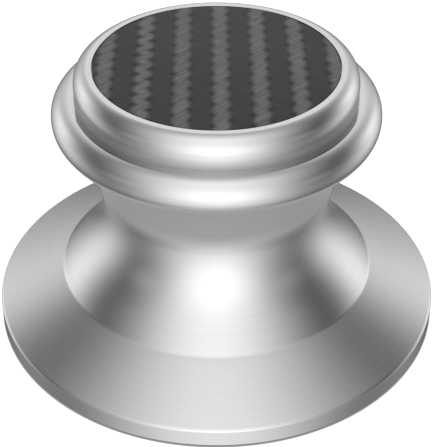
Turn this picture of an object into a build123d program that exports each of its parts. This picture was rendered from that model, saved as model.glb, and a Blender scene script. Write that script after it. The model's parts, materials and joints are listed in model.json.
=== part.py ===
from build123d import *
import math
import os

# A record weight: one turned aluminium body with a carbon-fibre disc let into its top and a rubber ring pad
# let into its base. Sizes are in millimetres. The axis is Z, and z = 0 is the record label that the pad rests on.

# Whole weight
HEIGHT = 49.5                 # from the label to the lip
BASE_DIAMETER = 80.2

# Base flange: a low rim, then a shallow cone up to a crease
BASE_LIFT = 0.35              # the metal stands clear of the label by this much
RIM_HEIGHT = 3.3
RIM_TOP_ROUND = 0.2
RIM_FOOT_ROUND = 0.12
FLANGE_RISE = 5.43            # from the rim's upper edge to the crease
FLANGE_WIDTH = 11.95          # from the rim in to the crease
CREASE_BLEND = 1.2

# Waist: a flared foot that sweeps in to the neck, and a slow cove from the neck up to the lower ring
FOOT_STEEPNESS = 50.0         # degrees from level, at the crease
FOOT_PULL = 5.4               # how far the curve holds that slope
NECK_PULL = 7.6               # how far the curve holds upright below the narrowest circle
NECK_COVE_RADIUS = 28.0       # above that circle
RING_ROOT_BLEND = 0.6         # where the cove meets the lower ring's underside
RING_UNDERCUT = 0.87          # flat underside between the cove and the bead

# Lower ring: a bead with a flat ledge on top
RING_STAND_OUT = 4.1          # beyond the upper ring's wall
RING_RISE = 16.75             # from the narrowest circle to the ring's widest circle
RING_LOWER_RADIUS = 3.7
RING_UPPER_RADIUS = 4.9
LEDGE_RISE = 3.37             # from the ring's widest circle to the ledge
LEDGE_EDGE_ROUND = 2.4

# Upper ring: an upright wall with a rounded shoulder and a flat lip
WALL_HEIGHT = 2.6             # from the ledge to where the shoulder starts
SHOULDER_RADIUS = 2.84
SHOULDER_TURN = 78.0          # degrees, from the wall to the edge of the lip
LIP_WIDTH = 0.98

# Carbon-fibre disc in the top
INLAY_DIAMETER = 41.5
INLAY_THICKNESS = 1.0
INLAY_GAP = 0.12              # all round the disc
INLAY_SINK = 0.1              # the disc's face lies this far below the lip

# Rubber ring pad under the base
PAD_BORDER = 4.1              # metal left outside the pad
PAD_INNER_DIAMETER = 24.0
PAD_THICKNESS = 1.2
PAD_GAP = 0.15                # beside the pad in its groove
PAD_EDGE_ROUND = 0.12

# Blind hole for the turntable's spindle
SPINDLE_DIAMETER = 7.1
SPINDLE_CLEARANCE = 0.1       # all round the spindle
BORE_LENGTH = 18.0            # straight wall of the hole
BORE_LEAD_IN = 0.6            # chamfer at the mouth

# Radii and heights that follow from the sizes above
base_r = BASE_DIAMETER / 2
crease_r = base_r - FLANGE_WIDTH
pad_outer_r = base_r - PAD_BORDER
pad_inner_r = PAD_INNER_DIAMETER / 2
bore_r = SPINDLE_DIAMETER / 2 + SPINDLE_CLEARANCE
inlay_r = INLAY_DIAMETER / 2
seat_r = inlay_r + INLAY_GAP
lip_r = seat_r + LIP_WIDTH
shoulder_end = math.radians(SHOULDER_TURN)
wall_r = lip_r + SHOULDER_RADIUS * (1 - math.cos(shoulder_end))
ring_r = wall_r + RING_STAND_OUT
bead_r = ring_r - RING_LOWER_RADIUS
cove_r = bead_r - RING_UNDERCUT
cove_turn = math.asin((RING_RISE - RING_LOWER_RADIUS) / NECK_COVE_RADIUS)
neck_r = cove_r - NECK_COVE_RADIUS * (1 - math.cos(cove_turn))
base_z = BASE_LIFT
rim_z = base_z + RIM_HEIGHT
crease_z = rim_z + FLANGE_RISE
lip_z = HEIGHT
shoulder_z = lip_z - SHOULDER_RADIUS * math.sin(shoulder_end)
ledge_z = shoulder_z - WALL_HEIGHT
ring_z = ledge_z - LEDGE_RISE
ring_bottom_z = ring_z - RING_LOWER_RADIUS
neck_z = ring_z - RING_RISE
recess_z = lip_z - INLAY_SINK - INLAY_THICKNESS
bore_end_z = base_z + BORE_LEAD_IN + BORE_LENGTH
groove_z = PAD_THICKNESS


def arc(center_r, center_z, radius, start, end):
    """An arc of the section, from one angle to another in degrees, counted from outwards to upwards."""
    return CenterArc((center_r, center_z), radius, start, end - start)


def round_corner(section, r, z, radius):
    """Round the corner of the section that lies nearest to (r, z)."""
    corner = min(section.vertices(), key=lambda v: math.hypot(v.X - r, v.Y - z))
    fillet(corner, radius)


def ledge_edge():
    """Where the ledge's rounded edge leaves the ring's side: its centre radius and the angle there."""
    reach = RING_UPPER_RADIUS - LEDGE_EDGE_ROUND
    turn = math.asin((LEDGE_RISE - LEDGE_EDGE_ROUND) / reach)
    return ring_r - RING_UPPER_RADIUS + reach * math.cos(turn), math.degrees(turn)


def turned_body():
    edge_r, edge_angle = ledge_edge()
    steep = math.radians(FOOT_STEEPNESS)
    pad_inner_wall = pad_inner_r - PAD_GAP
    pad_outer_wall = pad_outer_r + PAD_GAP
    with BuildPart() as build:
        with BuildSketch(Plane.XZ) as section:
            with BuildLine():
                # underside, from the hole's end out to the rim, with the groove that holds the pad
                Polyline(
                    (0, bore_end_z),
                    (bore_r, bore_end_z),
                    (bore_r, base_z + BORE_LEAD_IN),
                    (bore_r + BORE_LEAD_IN, base_z),
                    (pad_inner_wall, base_z),
                    (pad_inner_wall, groove_z),
                    (pad_outer_wall, groove_z),
                    (pad_outer_wall, base_z),
                    (base_r, base_z),
                    (base_r, rim_z),
                    (crease_r, crease_z),
                )
                # waist
                Bezier(
                    (crease_r, crease_z),
                    (crease_r - FOOT_PULL * math.cos(steep), crease_z + FOOT_PULL * math.sin(steep)),
                    (neck_r, neck_z - NECK_PULL),
                    (neck_r, neck_z),
                )
                arc(neck_r + NECK_COVE_RADIUS, neck_z, NECK_COVE_RADIUS, 180, 180 - math.degrees(cove_turn))
                # lower ring and its ledge
                Line((cove_r, ring_bottom_z), (bead_r, ring_bottom_z))
                arc(bead_r, ring_z, RING_LOWER_RADIUS, -90, 0)
                arc(ring_r - RING_UPPER_RADIUS, ring_z, RING_UPPER_RADIUS, 0, edge_angle)
                arc(edge_r, ledge_z - LEDGE_EDGE_ROUND, LEDGE_EDGE_ROUND, edge_angle, 90)
                # upper ring, its lip and the seat of the inlay
                Polyline((edge_r, ledge_z), (wall_r, ledge_z), (wall_r, shoulder_z))
                arc(wall_r - SHOULDER_RADIUS, shoulder_z, SHOULDER_RADIUS, 0, SHOULDER_TURN)
                Polyline(
                    (lip_r, lip_z),
                    (seat_r, lip_z),
                    (seat_r, recess_z),
                    (0, recess_z),
                    (0, bore_end_z),
                )
            make_face()
            round_corner(section, base_r, base_z, RIM_FOOT_ROUND)
            round_corner(section, base_r, rim_z, RIM_TOP_ROUND)
            round_corner(section, crease_r, crease_z, CREASE_BLEND)
            round_corner(section, cove_r, ring_bottom_z, RING_ROOT_BLEND)
        revolve(axis=Axis.Z)
    return build.part


def inlay_disc():
    with BuildPart() as build:
        with BuildSketch(Plane.XY.offset(recess_z)):
            Circle(inlay_r)
        extrude(amount=INLAY_THICKNESS)
    return build.part


def ring_pad():
    with BuildPart() as build:
        with BuildSketch():
            Circle(pad_outer_r)
            Circle(pad_inner_r, mode=Mode.SUBTRACT)
        extrude(amount=PAD_THICKNESS)
        fillet(build.faces().sort_by(Axis.Z)[0].edges(), PAD_EDGE_ROUND)
    return build.part


pieces = {
    "weight_body": turned_body(),
    "carbon_inlay": inlay_disc(),
    "label_pad": ring_pad(),
}

os.makedirs("parts", exist_ok=True)
for name, piece in pieces.items():
    export_step(piece, f"parts/{name}.step")
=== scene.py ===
import json
import math

import bpy
import numpy as np
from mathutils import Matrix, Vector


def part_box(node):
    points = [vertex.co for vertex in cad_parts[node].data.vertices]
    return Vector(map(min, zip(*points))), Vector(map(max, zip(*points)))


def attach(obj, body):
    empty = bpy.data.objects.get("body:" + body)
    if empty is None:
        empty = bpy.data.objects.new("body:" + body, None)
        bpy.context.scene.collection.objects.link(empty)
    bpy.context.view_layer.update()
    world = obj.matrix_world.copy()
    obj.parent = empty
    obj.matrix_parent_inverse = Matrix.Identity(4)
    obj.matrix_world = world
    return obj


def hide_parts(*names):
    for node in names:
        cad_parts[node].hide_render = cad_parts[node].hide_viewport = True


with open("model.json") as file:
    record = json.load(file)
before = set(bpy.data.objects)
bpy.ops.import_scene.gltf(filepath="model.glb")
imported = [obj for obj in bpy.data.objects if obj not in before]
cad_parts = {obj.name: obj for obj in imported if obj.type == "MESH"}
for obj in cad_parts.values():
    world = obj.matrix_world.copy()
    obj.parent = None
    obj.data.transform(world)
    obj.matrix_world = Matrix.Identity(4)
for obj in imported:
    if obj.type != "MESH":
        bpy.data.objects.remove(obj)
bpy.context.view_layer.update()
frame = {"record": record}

# A record weight: a turned aluminium body with a carbon-fibre disc in its top and a rubber ring pad under it.
# Sizes are in millimetres, and meshes are in metres.

MM = 0.001


def round_node(name):
    """A round node's outer radius, its lowest height and its highest, to the micrometre."""
    low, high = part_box(name)
    return [round(size / MM, 3) for size in (high.x, low.z, high.z)]


def bore_size():
    """The spindle hole's radius and the length of its straight wall."""
    dims = next(m["dims"] for m in frame["record"]["mounts"] if m["name"] == "spindle_bore")
    return dims["r_mm"], dims["length_mm"]


# Sizes that the frame gives
BASE_R, BASE_Z, LIP_Z = round_node("weight_body")
INLAY_R, INLAY_BOTTOM_Z, INLAY_TOP_Z = round_node("carbon_inlay")
PAD_OUTER_R, PAD_BOTTOM_Z, PAD_TOP_Z = round_node("label_pad")
BORE_R, BORE_LENGTH = bore_size()

# Base flange and waist
RIM_HEIGHT = 3.3
RIM_TOP_ROUND = 0.6
RIM_FOOT_ROUND = 0.12
FLANGE_RISE = 5.43            # from the rim's upper edge to the crease
FLANGE_WIDTH = 11.95          # from the rim in to the crease
CREASE_BLEND = 1.2
FOOT_STEEPNESS = 50.0         # degrees from level, at the crease
FOOT_PULL = 5.4               # how far the waist holds that slope
NECK_PULL = 7.6               # how far the waist holds upright below its narrowest circle
NECK_COVE_RADIUS = 28.0       # above that circle

# Lower ring, its ledge and the upper ring
RING_ROOT_BLEND = 0.6         # where the cove meets the lower ring's underside
RING_UNDERCUT = 0.87          # flat underside between the cove and the bead
RING_STAND_OUT = 4.1          # beyond the upper ring's wall
RING_RISE = 16.75             # from the narrowest circle to the ring's widest circle
RING_LOWER_RADIUS = 3.7
RING_UPPER_RADIUS = 4.9
LEDGE_RISE = 3.37             # from the ring's widest circle to the ledge
LEDGE_EDGE_ROUND = 3.2
WALL_HEIGHT = 2.6             # from the ledge to where the shoulder starts
SHOULDER_RADIUS = 2.84
SHOULDER_TURN = 78.0          # degrees, from the wall to the edge of the lip
LIP_WIDTH = 0.98

# Seats of the disc and the pad, the spindle hole and the small edges
INLAY_GAP = 0.12              # all round the disc
INLAY_EDGE_ROUND = 0.1
PAD_INNER_R = 12.0
PAD_GAP = 0.15                # beside the pad in its groove
PAD_EDGE_ROUND = 0.12
BORE_LEAD_IN = 0.6            # chamfer at the mouth of the hole
EDGE_BREAK = 0.12             # on the edges that the lathe leaves sharp

# Radii and heights that follow from the sizes above
RIM_Z = BASE_Z + RIM_HEIGHT
CREASE_R = BASE_R - FLANGE_WIDTH
CREASE_Z = RIM_Z + FLANGE_RISE
SEAT_R = INLAY_R + INLAY_GAP
WALL_R = SEAT_R + LIP_WIDTH + SHOULDER_RADIUS * (1 - math.cos(math.radians(SHOULDER_TURN)))
SHOULDER_Z = LIP_Z - SHOULDER_RADIUS * math.sin(math.radians(SHOULDER_TURN))
LEDGE_Z = SHOULDER_Z - WALL_HEIGHT
RING_R = WALL_R + RING_STAND_OUT
RING_Z = LEDGE_Z - LEDGE_RISE
RING_BOTTOM_Z = RING_Z - RING_LOWER_RADIUS
BEAD_R = RING_R - RING_LOWER_RADIUS
COVE_TURN = math.asin((RING_RISE - RING_LOWER_RADIUS) / NECK_COVE_RADIUS)
NECK_R = BEAD_R - RING_UNDERCUT - NECK_COVE_RADIUS * (1 - math.cos(COVE_TURN))
NECK_Z = RING_Z - RING_RISE
GROOVE_OUTER_R = PAD_OUTER_R + PAD_GAP
GROOVE_INNER_R = PAD_INNER_R - PAD_GAP
BORE_MOUTH_Z = BASE_Z + BORE_LEAD_IN
BORE_END_Z = BORE_MOUTH_Z + BORE_LENGTH

# How fine the meshes are
BODY_SEGMENTS = 300
INLAY_SEGMENTS = 320
INLAY_RINGS = 24
PAD_SEGMENTS = 192
FLOOR_SEGMENTS = 96
SHARP_ANGLE = 50.0            # degrees; an edge that turns more is shaded sharp
SMOOTH_TURN = 1e-3            # radians; a smaller turn between two stretches is no corner
ON_AXIS = 1e-6                # a point nearer to the axis lies on it

# Most of a noise texture's values lie between these
NOISE_SPAN = (0.3, 0.7)

# Finish of the metal: satin with fine turned rings
METAL_GREY = 0.5
EDGE_TINT = 0.7
SATIN = 0.13
TURNING_SCALE = 2600.0        # how fine the turned rings are
TURNING_TONE_SPAN = (0.25, 0.75)
TURNING_TONE = 0.008          # how much they change the grey
TURNING_GLOSS_SPAN = (0.2, 0.8)
TURNING_GLOSS = 0.02          # how much they change the roughness
TURNING_BUMP = 0.02
TURNING_DEPTH = 0.02
METAL_CLOUD_SCALE = 160.0     # slow changes of the roughness over the metal
METAL_CLOUD_GLOSS = 0.01

# The hollows that a polishing wheel does not reach are more matt. That comes in and goes out over spans, each
# counted upwards or outwards from a place on the section.
NECK_MATT = 0.75              # roughness added in the cove and under the lower ring
NECK_MATT_START = (-0.5, 5.0)     # up from the narrowest circle
NECK_MATT_END = (-1.7, -0.5)      # up from the ring's widest circle
NECK_MATT_EDGE = (-0.4, -0.03)    # out from the ring's widest circle
WALL_MATT = 0.33              # roughness added on the wall between the rings
WALL_MATT_START = (-0.4, 0.0)     # up from the ledge
WALL_MATT_END = (-1.8, 0.1)       # up from where the shoulder starts
WALL_MATT_EDGE = (0.02, 0.1)      # out from the wall

# Carbon-fibre cloth
TOW_WIDTH = 2.27
CLOTH_TURN = 45.4             # degrees from the X axis to the light tows
STRIPE_REPEAT = 4.0           # the weave repeats after this many tows
STRIPE_X = 0.68               # middle of one light stripe
BITE_Y = 0.61                 # where the bites along its edges are counted from
STRIPE_FADE = (0.4, 1.2)      # a stripe fades out from its middle between these, in tow widths
BITE_DEPTH = (0.16, 0.34)     # from the cloth's calmest patches to its liveliest, in tow widths
BITE_SHARPNESS = 2.0
LOOSE_X = -12.1               # one stripe lies looser: it is lighter and its bites are deeper
LOOSE_FADE = (1.5, 3.5)
LOOSE_BITE = 0.25
LOOSE_SHEEN = 0.1
GAP_SHADE = 0.55
GAP_SHARPNESS = 2.0
GAP_START = (0.6, 0.9)        # the shade in a gap comes in and goes out between these, in tow widths
GAP_END = (1.05, 1.4)
FIBRES_PER_TOW = 6.5
FIBRE_STRETCH = 0.4
TOW_SHEEN_TONE = (0.066, 0.122)    # painted sheen of the light tows, from between the fibres to their tops
DARK_TOW = (0.017, 0.026)
CLOTH_PATCHES = 130.0         # how fine the slow changes across the cloth are
CLOTH_ROUGHNESS = (0.36, 0.4)
CLOTH_GLOSS = 0.12

# Rubber of the pad
RUBBER_GRAIN_SCALE = 2200.0
RUBBER_CLOUD_SCALE = 90.0
RUBBER_TONE = (0.022, 0.034)
RUBBER_ROUGHNESS = (0.72, 0.88)
RUBBER_BUMP = 0.35
RUBBER_GRAIN_DEPTH = 0.05

# Camera: its place and its clip distances in metres, and how far it looks down in degrees
CAMERA_Y = -0.18578
CAMERA_Z = 0.15470
CAMERA_PITCH = 36.73
CAMERA_LENS = 102.25
CAMERA_SENSOR = 36.0
CAMERA_SHIFT_X = 0.0055
CAMERA_CLIP = (0.005, 10.0)

# Floor of the studio
FLOOR_RADIUS = 2500.0
FLOOR_COLOUR = 0.5
FLOOR_LIFT = 0.75             # what the floor shows the camera above its paint, up to white
FLOOR_LIFT_FADE = 0.15        # from the rim outwards

# Light of the studio: each soft lamp has its azimuth from the camera's side and its elevation in degrees, how
# narrow it is and its level
FILL_LEVEL = 0.016            # from all round
LAMPS = (
    ("front high", -2.5, 44.0, 2.4, 1.627),
    ("front level", 2.0, -9.0, 5.9, 0.578),
    ("front low", -1.0, -33.0, 2.1, 1.42),
    ("overhead", 0.0, 90.0, 7.9, 0.705),
    ("back", 180.0, 28.6, 5.7, 1.39),
    ("side left", -66.0, 1.8, 32.0, 0.218),
    ("side right", 66.0, 1.8, 32.0, 0.218),
    ("back left", -127.0, 16.4, 22.0, 0.831),
    ("back right", 127.0, 16.4, 22.0, 0.92),
    ("back low left", -122.0, -10.4, 6.4, 1.335),
    ("back low right", 122.0, -10.4, 6.4, 1.335),
)

# Points of a section, as (radius, height)


def straight(a, b, steps=6):
    """Points from a to b, closer together near both ends."""
    a, b = np.array(a, float), np.array(b, float)
    shares = (1 - np.cos(np.linspace(0, math.pi, steps + 1))) / 2
    return [a + (b - a) * s for s in shares]


def arc(center, radius, start, end, steps):
    """Points of an arc, from one angle to another in degrees."""
    angles = np.radians(np.linspace(start, end, steps + 1))
    return [np.array((center[0] + radius * math.cos(a), center[1] + radius * math.sin(a))) for a in angles]


def cubic(p0, p1, p2, p3, steps):
    """Points of a cubic curve with those four control points."""
    p0, p1, p2, p3 = (np.array(p, float) for p in (p0, p1, p2, p3))
    points = []
    for t in np.linspace(0, 1, steps + 1):
        s = 1 - t
        points.append(s**3 * p0 + 3 * s**2 * t * p1 + 3 * s * t**2 * p2 + t**3 * p3)
    return points


def cut_back(points, length):
    """The points without the last stretch of that length."""
    points = list(points)
    while len(points) > 1:
        step = points[-1] - points[-2]
        size = float(np.hypot(*step))
        if size > length:
            points[-1] = points[-1] - step / size * length
            return points
        length -= size
        points.pop()
    return points


def unit(v):
    return v / np.hypot(*v)


def joined(first, second, radius, steps=8):
    """Two stretches that meet in a corner, as one, with the corner rounded."""
    ahead = unit(first[-1] - first[-2])
    beyond = unit(second[1] - second[0])
    turn = math.acos(max(-1.0, min(1.0, float(ahead @ beyond))))
    if radius == 0 or turn < SMOOTH_TURN:
        return list(first) + list(second[1:])
    reach = radius * math.tan(turn / 2)
    first = cut_back(first, reach)
    second = cut_back(list(second)[::-1], reach)[::-1]
    handle = radius * math.tan(turn / 4) * 4 / 3
    ahead = unit(first[-1] - first[-2])
    beyond = unit(second[1] - second[0])
    bend = cubic(first[-1], first[-1] + ahead * handle, second[0] - beyond * handle, second[0], steps)
    return first + bend[1:-1] + second


def chain(start, *stretches):
    """Stretches joined one after another; each comes with the radius at the corner where it starts."""
    points = list(start)
    for radius, stretch in stretches:
        points = joined(points, stretch, radius)
    return points


def underside():
    """From the end of the spindle hole out to the rim, with the groove that holds the pad."""
    return chain(
        straight((0, BORE_END_Z), (BORE_R, BORE_END_Z)),
        (EDGE_BREAK, straight((BORE_R, BORE_END_Z), (BORE_R, BORE_MOUTH_Z))),
        (EDGE_BREAK, straight((BORE_R, BORE_MOUTH_Z), (BORE_R + BORE_LEAD_IN, BASE_Z))),
        (EDGE_BREAK, straight((BORE_R + BORE_LEAD_IN, BASE_Z), (GROOVE_INNER_R, BASE_Z))),
        (EDGE_BREAK, straight((GROOVE_INNER_R, BASE_Z), (GROOVE_INNER_R, PAD_TOP_Z))),
        (EDGE_BREAK, straight((GROOVE_INNER_R, PAD_TOP_Z), (GROOVE_OUTER_R, PAD_TOP_Z))),
        (EDGE_BREAK, straight((GROOVE_OUTER_R, PAD_TOP_Z), (GROOVE_OUTER_R, BASE_Z))),
        (EDGE_BREAK, straight((GROOVE_OUTER_R, BASE_Z), (BASE_R, BASE_Z))),
    )


def waist():
    """From the crease in to the narrowest circle."""
    steep = math.radians(FOOT_STEEPNESS)
    foot_handle = (CREASE_R - FOOT_PULL * math.cos(steep), CREASE_Z + FOOT_PULL * math.sin(steep))
    neck_handle = (NECK_R, NECK_Z - NECK_PULL)
    return cubic((CREASE_R, CREASE_Z), foot_handle, neck_handle, (NECK_R, NECK_Z), steps=40)


def body_section():
    """From the spindle hole round the outside of the body to the seat of the disc."""
    cove_end = 180 - math.degrees(COVE_TURN)
    cove = arc((NECK_R + NECK_COVE_RADIUS, NECK_Z), NECK_COVE_RADIUS, 180, cove_end, steps=24)
    edge_reach = RING_UPPER_RADIUS - LEDGE_EDGE_ROUND
    edge_turn = math.asin((LEDGE_RISE - LEDGE_EDGE_ROUND) / edge_reach)
    upper_r = RING_R - RING_UPPER_RADIUS
    edge_r = upper_r + edge_reach * math.cos(edge_turn)
    edge_z = LEDGE_Z - LEDGE_EDGE_ROUND
    lower_round = arc((BEAD_R, RING_Z), RING_LOWER_RADIUS, -90, 0, steps=20)
    upper_round = arc((upper_r, RING_Z), RING_UPPER_RADIUS, 0, math.degrees(edge_turn), steps=12)
    ledge_edge = arc((edge_r, edge_z), LEDGE_EDGE_ROUND, math.degrees(edge_turn), 90, steps=10)
    shoulder = arc((WALL_R - SHOULDER_RADIUS, SHOULDER_Z), SHOULDER_RADIUS, 0, SHOULDER_TURN, steps=18)
    return chain(
        underside(),
        (RIM_FOOT_ROUND, straight((BASE_R, BASE_Z), (BASE_R, RIM_Z), steps=8)),
        (RIM_TOP_ROUND, straight((BASE_R, RIM_Z), (CREASE_R, CREASE_Z), steps=16)),
        (CREASE_BLEND, waist()),
        (0, cove),
        (RING_ROOT_BLEND, straight(cove[-1], (BEAD_R, RING_BOTTOM_Z))),
        (0, lower_round),
        (0, upper_round),
        (0, ledge_edge),
        (0, straight((edge_r, LEDGE_Z), (WALL_R, LEDGE_Z))),
        (0, straight((WALL_R, LEDGE_Z), (WALL_R, SHOULDER_Z))),
        (0, shoulder),
        (0, straight(shoulder[-1], (SEAT_R, LIP_Z), steps=4)),
        (EDGE_BREAK, straight((SEAT_R, LIP_Z), (SEAT_R, INLAY_BOTTOM_Z))),
        (0, straight((SEAT_R, INLAY_BOTTOM_Z), (0, INLAY_BOTTOM_Z))),
    )


def inlay_section():
    face = [np.array((r, INLAY_TOP_Z)) for r in np.linspace(INLAY_R, 0, INLAY_RINGS + 1)]
    return chain(
        straight((0, INLAY_BOTTOM_Z), (INLAY_R, INLAY_BOTTOM_Z)),
        (0, straight((INLAY_R, INLAY_BOTTOM_Z), (INLAY_R, INLAY_TOP_Z))),
        (INLAY_EDGE_ROUND, face),
    )


def pad_section():
    low, high, inner, outer = PAD_BOTTOM_Z, PAD_TOP_Z, PAD_INNER_R, PAD_OUTER_R
    return chain(
        straight((inner, high), (inner, low)),
        (PAD_EDGE_ROUND, straight((inner, low), (outer, low), steps=24)),
        (PAD_EDGE_ROUND, straight((outer, low), (outer, high))),
        (0, straight((outer, high), (inner, high))),
    )


# Meshes


def lathe(name, section, segments):
    """Turns a section about Z into a mesh object in metres."""
    angles = np.arange(segments) * 2 * math.pi / segments
    vertices, rows = [], []
    for r, z in section:
        if r < ON_AXIS:
            rows.append([len(vertices)] * segments)
            vertices.append((0.0, 0.0, z * MM))
        else:
            rows.append(list(range(len(vertices), len(vertices) + segments)))
            vertices.extend((r * math.cos(a) * MM, r * math.sin(a) * MM, z * MM) for a in angles)
    faces = []
    for low, high in zip(rows, rows[1:]):
        for i in range(segments):
            j = (i + 1) % segments
            corners = [low[i], low[j], high[j], high[i]]
            faces.append(tuple(dict.fromkeys(corners)))
    mesh = bpy.data.meshes.new(name)
    mesh.from_pydata(vertices, [], faces)
    mesh.shade_smooth()
    mesh.set_sharp_from_angle(angle=math.radians(SHARP_ANGLE))
    obj = bpy.data.objects.new(name, mesh)
    bpy.context.scene.collection.objects.link(obj)
    return obj


# Nodes


def add(tree, kind, inputs=None, **settings):
    """A new node with its settings and inputs; an input is a value or another node's output."""
    node = tree.nodes.new(kind)
    for name, value in settings.items():
        setattr(node, name, value)
    for name, value in (inputs or {}).items():
        if isinstance(value, bpy.types.NodeSocket):
            tree.links.new(value, node.inputs[name])
        else:
            node.inputs[name].default_value = value
    return node


def calc(tree, operation, *values):
    """The result of a Math node."""
    return add(tree, "ShaderNodeMath", dict(enumerate(values)), operation=operation).outputs[0]


def ramp(tree, value, low, high, to_low=0.0, to_high=1.0):
    """A smooth step from one value to another."""
    inputs = {"Value": value, "From Min": low, "From Max": high, "To Min": to_low, "To Max": to_high}
    return add(tree, "ShaderNodeMapRange", inputs, interpolation_type="SMOOTHSTEP").outputs[0]


def fade_in(tree, length, place, span):
    """0 to 1 while a length passes a span that is counted from a place."""
    return ramp(tree, length, (place + span[0]) * MM, (place + span[1]) * MM)


def fade_out(tree, length, place, span):
    """1 to 0 while a length passes a span that is counted from a place."""
    return ramp(tree, length, (place + span[0]) * MM, (place + span[1]) * MM, 1.0, 0.0)


def mix(tree, share, low, high):
    """A blend of two values."""
    return add(tree, "ShaderNodeMix", {"Factor": share, "A": low, "B": high}).outputs[0]


def noise(tree, place, scale, detail):
    """The value of a noise texture."""
    inputs = {"Vector": place, "Scale": scale, "Detail": detail}
    return add(tree, "ShaderNodeTexNoise", inputs).outputs["Fac"]


def object_place(tree):
    return add(tree, "ShaderNodeTexCoord").outputs["Object"]


def split_xyz(tree, vector):
    return add(tree, "ShaderNodeSeparateXYZ", {"Vector": vector}).outputs


def from_axis(tree, x, y):
    """The distance from the turning axis."""
    return calc(tree, "SQRT", calc(tree, "ADD", calc(tree, "MULTIPLY", x, x), calc(tree, "MULTIPLY", y, y)))


def grey(tree, value):
    """The same value on all three colour channels."""
    return add(tree, "ShaderNodeCombineColor", {"Red": value, "Green": value, "Blue": value}).outputs[0]


def new_material(name):
    material = bpy.data.materials.new(name)
    material.use_nodes = True
    material.node_tree.nodes.clear()
    return material, material.node_tree


def finish_material(tree, shader):
    output = tree.nodes.new("ShaderNodeOutputMaterial")
    tree.links.new(shader.outputs[0], output.inputs["Surface"])


# Materials


def neck_hollow(tree, radius, z):
    """1 in the neck's cove and under the lower ring, and 0 elsewhere on the body."""
    above_neck = fade_in(tree, z, NECK_Z, NECK_MATT_START)
    below_ring = fade_out(tree, z, RING_Z, NECK_MATT_END)
    inside = fade_out(tree, radius, RING_R, NECK_MATT_EDGE)
    return calc(tree, "MULTIPLY", calc(tree, "MULTIPLY", above_neck, below_ring), inside)


def wall_hollow(tree, radius, z):
    """1 on the wall between the rings, and 0 elsewhere on the body."""
    above_ledge = fade_in(tree, z, LEDGE_Z, WALL_MATT_START)
    below_shoulder = fade_out(tree, z, SHOULDER_Z, WALL_MATT_END)
    beside_wall = fade_out(tree, radius, WALL_R, WALL_MATT_EDGE)
    return calc(tree, "MULTIPLY", calc(tree, "MULTIPLY", above_ledge, below_shoulder), beside_wall)


def aluminium():
    """Satin turned aluminium: faint rings about the axis in its colour, gloss and surface."""
    material, tree = new_material("turned_aluminium")
    place = object_place(tree)
    x, y, z = split_xyz(tree, place)
    radius = from_axis(tree, x, y)
    around = add(tree, "ShaderNodeCombineXYZ", {"X": radius, "Y": z}).outputs[0]
    rings = noise(tree, around, TURNING_SCALE, detail=3.0)
    cloud = noise(tree, place, METAL_CLOUD_SCALE, detail=4.0)
    tone = ramp(tree, rings, *TURNING_TONE_SPAN, METAL_GREY - TURNING_TONE, METAL_GREY + TURNING_TONE)
    gloss = ramp(tree, rings, *TURNING_GLOSS_SPAN, SATIN - TURNING_GLOSS, SATIN + TURNING_GLOSS)
    gloss = calc(tree, "ADD", gloss, ramp(tree, cloud, *NOISE_SPAN, -METAL_CLOUD_GLOSS, METAL_CLOUD_GLOSS))
    gloss = calc(tree, "MULTIPLY_ADD", neck_hollow(tree, radius, z), NECK_MATT, gloss)
    gloss = calc(tree, "MULTIPLY_ADD", wall_hollow(tree, radius, z), WALL_MATT, gloss)
    relief = {"Height": rings, "Strength": TURNING_BUMP, "Distance": TURNING_DEPTH * MM}
    finish_material(tree, add(tree, "ShaderNodeBsdfPrincipled", {
        "Base Color": grey(tree, tone),
        "Metallic": 1.0,
        "Roughness": gloss,
        "Normal": add(tree, "ShaderNodeBump", relief).outputs[0],
        "Specular Tint": (EDGE_TINT, EDGE_TINT, EDGE_TINT, 1.0),
    }))
    return material


def fibres(tree, along, across):
    """Fine streaks along a tow."""
    x = calc(tree, "MULTIPLY", along, FIBRE_STRETCH)
    y = calc(tree, "MULTIPLY", across, FIBRES_PER_TOW)
    place = add(tree, "ShaderNodeCombineXYZ", {"X": x, "Y": y}).outputs[0]
    return noise(tree, place, 1.0, detail=2.0)


def along_and_across(tree, x, y):
    """A place on the cloth, along the light tows and across them, in tow widths."""
    turn = math.radians(CLOTH_TURN)
    scale = 1 / (TOW_WIDTH * MM)
    beside = calc(tree, "SUBTRACT", x, STRIPE_X * MM)
    ahead = calc(tree, "SUBTRACT", y, BITE_Y * MM)
    u = calc(tree, "ADD", calc(tree, "MULTIPLY", beside, math.cos(turn) * scale),
             calc(tree, "MULTIPLY", ahead, math.sin(turn) * scale))
    v = calc(tree, "SUBTRACT", calc(tree, "MULTIPLY", ahead, math.cos(turn) * scale),
             calc(tree, "MULTIPLY", beside, math.sin(turn) * scale))
    return u, v


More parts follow.
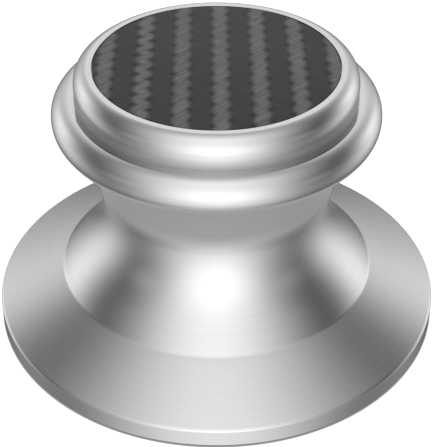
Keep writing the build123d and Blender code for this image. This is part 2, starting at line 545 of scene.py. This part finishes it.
def carbon():
    """Twill carbon fibre: the light tows show as stripes of painted sheen over the cloth's dark tone, and the
    tows that cross them are dark between.
    """
    material, tree = new_material("carbon_twill")
    place = object_place(tree)
    x, y, _ = split_xyz(tree, place)
    u, v = along_and_across(tree, x, y)
    # how far it is from the middle of the nearest stripe, and on which side
    half = STRIPE_REPEAT / 2
    offset = calc(tree, "ADD", calc(tree, "SUBTRACT", u, v), half)
    offset = calc(tree, "SUBTRACT", calc(tree, "FLOORED_MODULO", offset, STRIPE_REPEAT), half)
    distance = calc(tree, "ABSOLUTE", offset)
    # between two tows the gap bites into the stripe, on its left and its right in turn
    beat = calc(tree, "SINE", calc(tree, "MULTIPLY", calc(tree, "ADD", u, v), math.pi))
    beat = calc(tree, "MULTIPLY", beat, calc(tree, "SIGN", offset))
    bite = calc(tree, "POWER", calc(tree, "MULTIPLY_ADD", beat, 0.5, 0.5), BITE_SHARPNESS)
    patch = noise(tree, place, CLOTH_PATCHES, detail=1.0)
    from_loose = calc(tree, "ABSOLUTE", calc(tree, "SUBTRACT", x, LOOSE_X * MM))
    loose = fade_out(tree, from_loose, 0.0, LOOSE_FADE)
    depth = ramp(tree, patch, *NOISE_SPAN, *BITE_DEPTH)
    depth = calc(tree, "ADD", depth, calc(tree, "MULTIPLY", loose, LOOSE_BITE))
    edge = calc(tree, "MULTIPLY_ADD", bite, depth, distance)
    on_top = ramp(tree, edge, *STRIPE_FADE, 1.0, 0.0)
    # fibres, the painted sheen on the light tows, and the shade in the gaps
    tow_sheen = ramp(tree, fibres(tree, u, v), *NOISE_SPAN, *TOW_SHEEN_TONE)
    tow_sheen = calc(tree, "MULTIPLY", tow_sheen, calc(tree, "MULTIPLY_ADD", loose, LOOSE_SHEEN, 1.0))
    dark = ramp(tree, fibres(tree, v, u), *NOISE_SPAN, *DARK_TOW)
    at_edge = calc(tree, "MULTIPLY", ramp(tree, distance, *GAP_START),
                   ramp(tree, distance, *GAP_END, GAP_SHADE, 0.0))
    gap = calc(tree, "MULTIPLY", calc(tree, "POWER", bite, GAP_SHARPNESS), at_edge)
    tone = calc(tree, "MULTIPLY", mix(tree, on_top, dark, tow_sheen), calc(tree, "SUBTRACT", 1.0, gap))
    finish_material(tree, add(tree, "ShaderNodeBsdfPrincipled", {
        "Base Color": grey(tree, tone),
        "Roughness": ramp(tree, patch, *NOISE_SPAN, *CLOTH_ROUGHNESS),
        "Specular IOR Level": CLOTH_GLOSS,
    }))
    return material


def rubber():
    """Matte black rubber with a fine grain."""
    material, tree = new_material("pad_rubber")
    place = object_place(tree)
    grain = noise(tree, place, RUBBER_GRAIN_SCALE, detail=4.0)
    cloud = noise(tree, place, RUBBER_CLOUD_SCALE, detail=3.0)
    relief = {"Height": grain, "Strength": RUBBER_BUMP, "Distance": RUBBER_GRAIN_DEPTH * MM}
    finish_material(tree, add(tree, "ShaderNodeBsdfPrincipled", {
        "Base Color": grey(tree, ramp(tree, cloud, *NOISE_SPAN, *RUBBER_TONE)),
        "Roughness": ramp(tree, grain, *NOISE_SPAN, *RUBBER_ROUGHNESS),
        "Normal": add(tree, "ShaderNodeBump", relief).outputs[0],
    }))
    return material


# Studio


def lamp_level(tree, direction):
    """How bright the studio's soft lamps are in a direction."""
    level = FILL_LEVEL
    for _, azimuth, elevation, narrow, strength in LAMPS:
        a, e = math.radians(azimuth), math.radians(elevation)
        aim = (math.sin(a) * math.cos(e), -math.cos(a) * math.cos(e), math.sin(e))
        dot = add(tree, "ShaderNodeVectorMath", {0: direction, 1: aim}, operation="DOT_PRODUCT")
        lobe = calc(tree, "POWER", calc(tree, "MAXIMUM", dot.outputs["Value"], 0.0), narrow)
        level = calc(tree, "ADD", calc(tree, "MULTIPLY", lobe, strength), level)
    return level


def world_light():
    """A soft studio: lamps in front and behind, high and low, one overhead, and weak ones at the sides."""
    world = bpy.data.worlds.new("studio")
    world.use_nodes = True
    tree = world.node_tree
    tree.nodes.clear()
    direction = add(tree, "ShaderNodeTexCoord").outputs["Generated"]
    level = lamp_level(tree, direction)
    background = add(tree, "ShaderNodeBackground", {"Color": (1, 1, 1, 1), "Strength": level})
    output = tree.nodes.new("ShaderNodeOutputWorld")
    tree.links.new(background.outputs[0], output.inputs["Surface"])
    bpy.context.scene.world = world


def floor():
    """A grey floor that is lifted to white for the camera, from just outside the rim."""
    obj = lathe("floor", [(0, 0), (FLOOR_RADIUS, 0)], FLOOR_SEGMENTS)
    material, tree = new_material("floor")
    rays = add(tree, "ShaderNodeLightPath").outputs
    mirrored = calc(tree, "MAXIMUM", rays["Is Glossy Ray"], rays["Is Transmission Ray"])
    seen = calc(tree, "MAXIMUM", rays["Is Camera Ray"], mirrored)
    x, y, _ = split_xyz(tree, object_place(tree))
    clear = fade_in(tree, from_axis(tree, x, y), BASE_R, (0.0, FLOOR_LIFT_FADE))
    lift = calc(tree, "MULTIPLY", calc(tree, "MULTIPLY", clear, FLOOR_LIFT), seen)
    glow = add(tree, "ShaderNodeEmission", {"Strength": lift})
    paint = add(tree, "ShaderNodeBsdfDiffuse", {"Color": (FLOOR_COLOUR, FLOOR_COLOUR, FLOOR_COLOUR, 1)})
    finish_material(tree, add(tree, "ShaderNodeAddShader", {0: paint.outputs[0], 1: glow.outputs[0]}))
    obj.data.materials.append(material)
    # the metal mirrors the soft lamps below the horizon in place of the floor
    obj.visible_glossy = False


def camera():
    data = bpy.data.cameras.new("camera")
    data.lens = CAMERA_LENS
    data.sensor_width = CAMERA_SENSOR
    data.shift_x = CAMERA_SHIFT_X
    data.clip_start, data.clip_end = CAMERA_CLIP
    obj = bpy.data.objects.new("camera", data)
    obj.location = (0.0, CAMERA_Y, CAMERA_Z)
    obj.rotation_euler = (math.radians(90 - CAMERA_PITCH), 0.0, 0.0)
    bpy.context.scene.collection.objects.link(obj)
    bpy.context.scene.camera = obj


def dress(obj, node, material):
    """Puts a piece in the place of a node, with its finish."""
    obj.data.materials.append(material)
    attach(obj, "root")
    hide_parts(node)


dress(lathe("turned_body", body_section(), BODY_SEGMENTS), "weight_body", aluminium())
dress(lathe("carbon_disc", inlay_section(), INLAY_SEGMENTS), "carbon_inlay", carbon())
dress(lathe("rubber_pad", pad_section(), PAD_SEGMENTS), "label_pad", rubber())
floor()
world_light()
camera()
bpy.context.scene.view_settings.view_transform = "Standard"
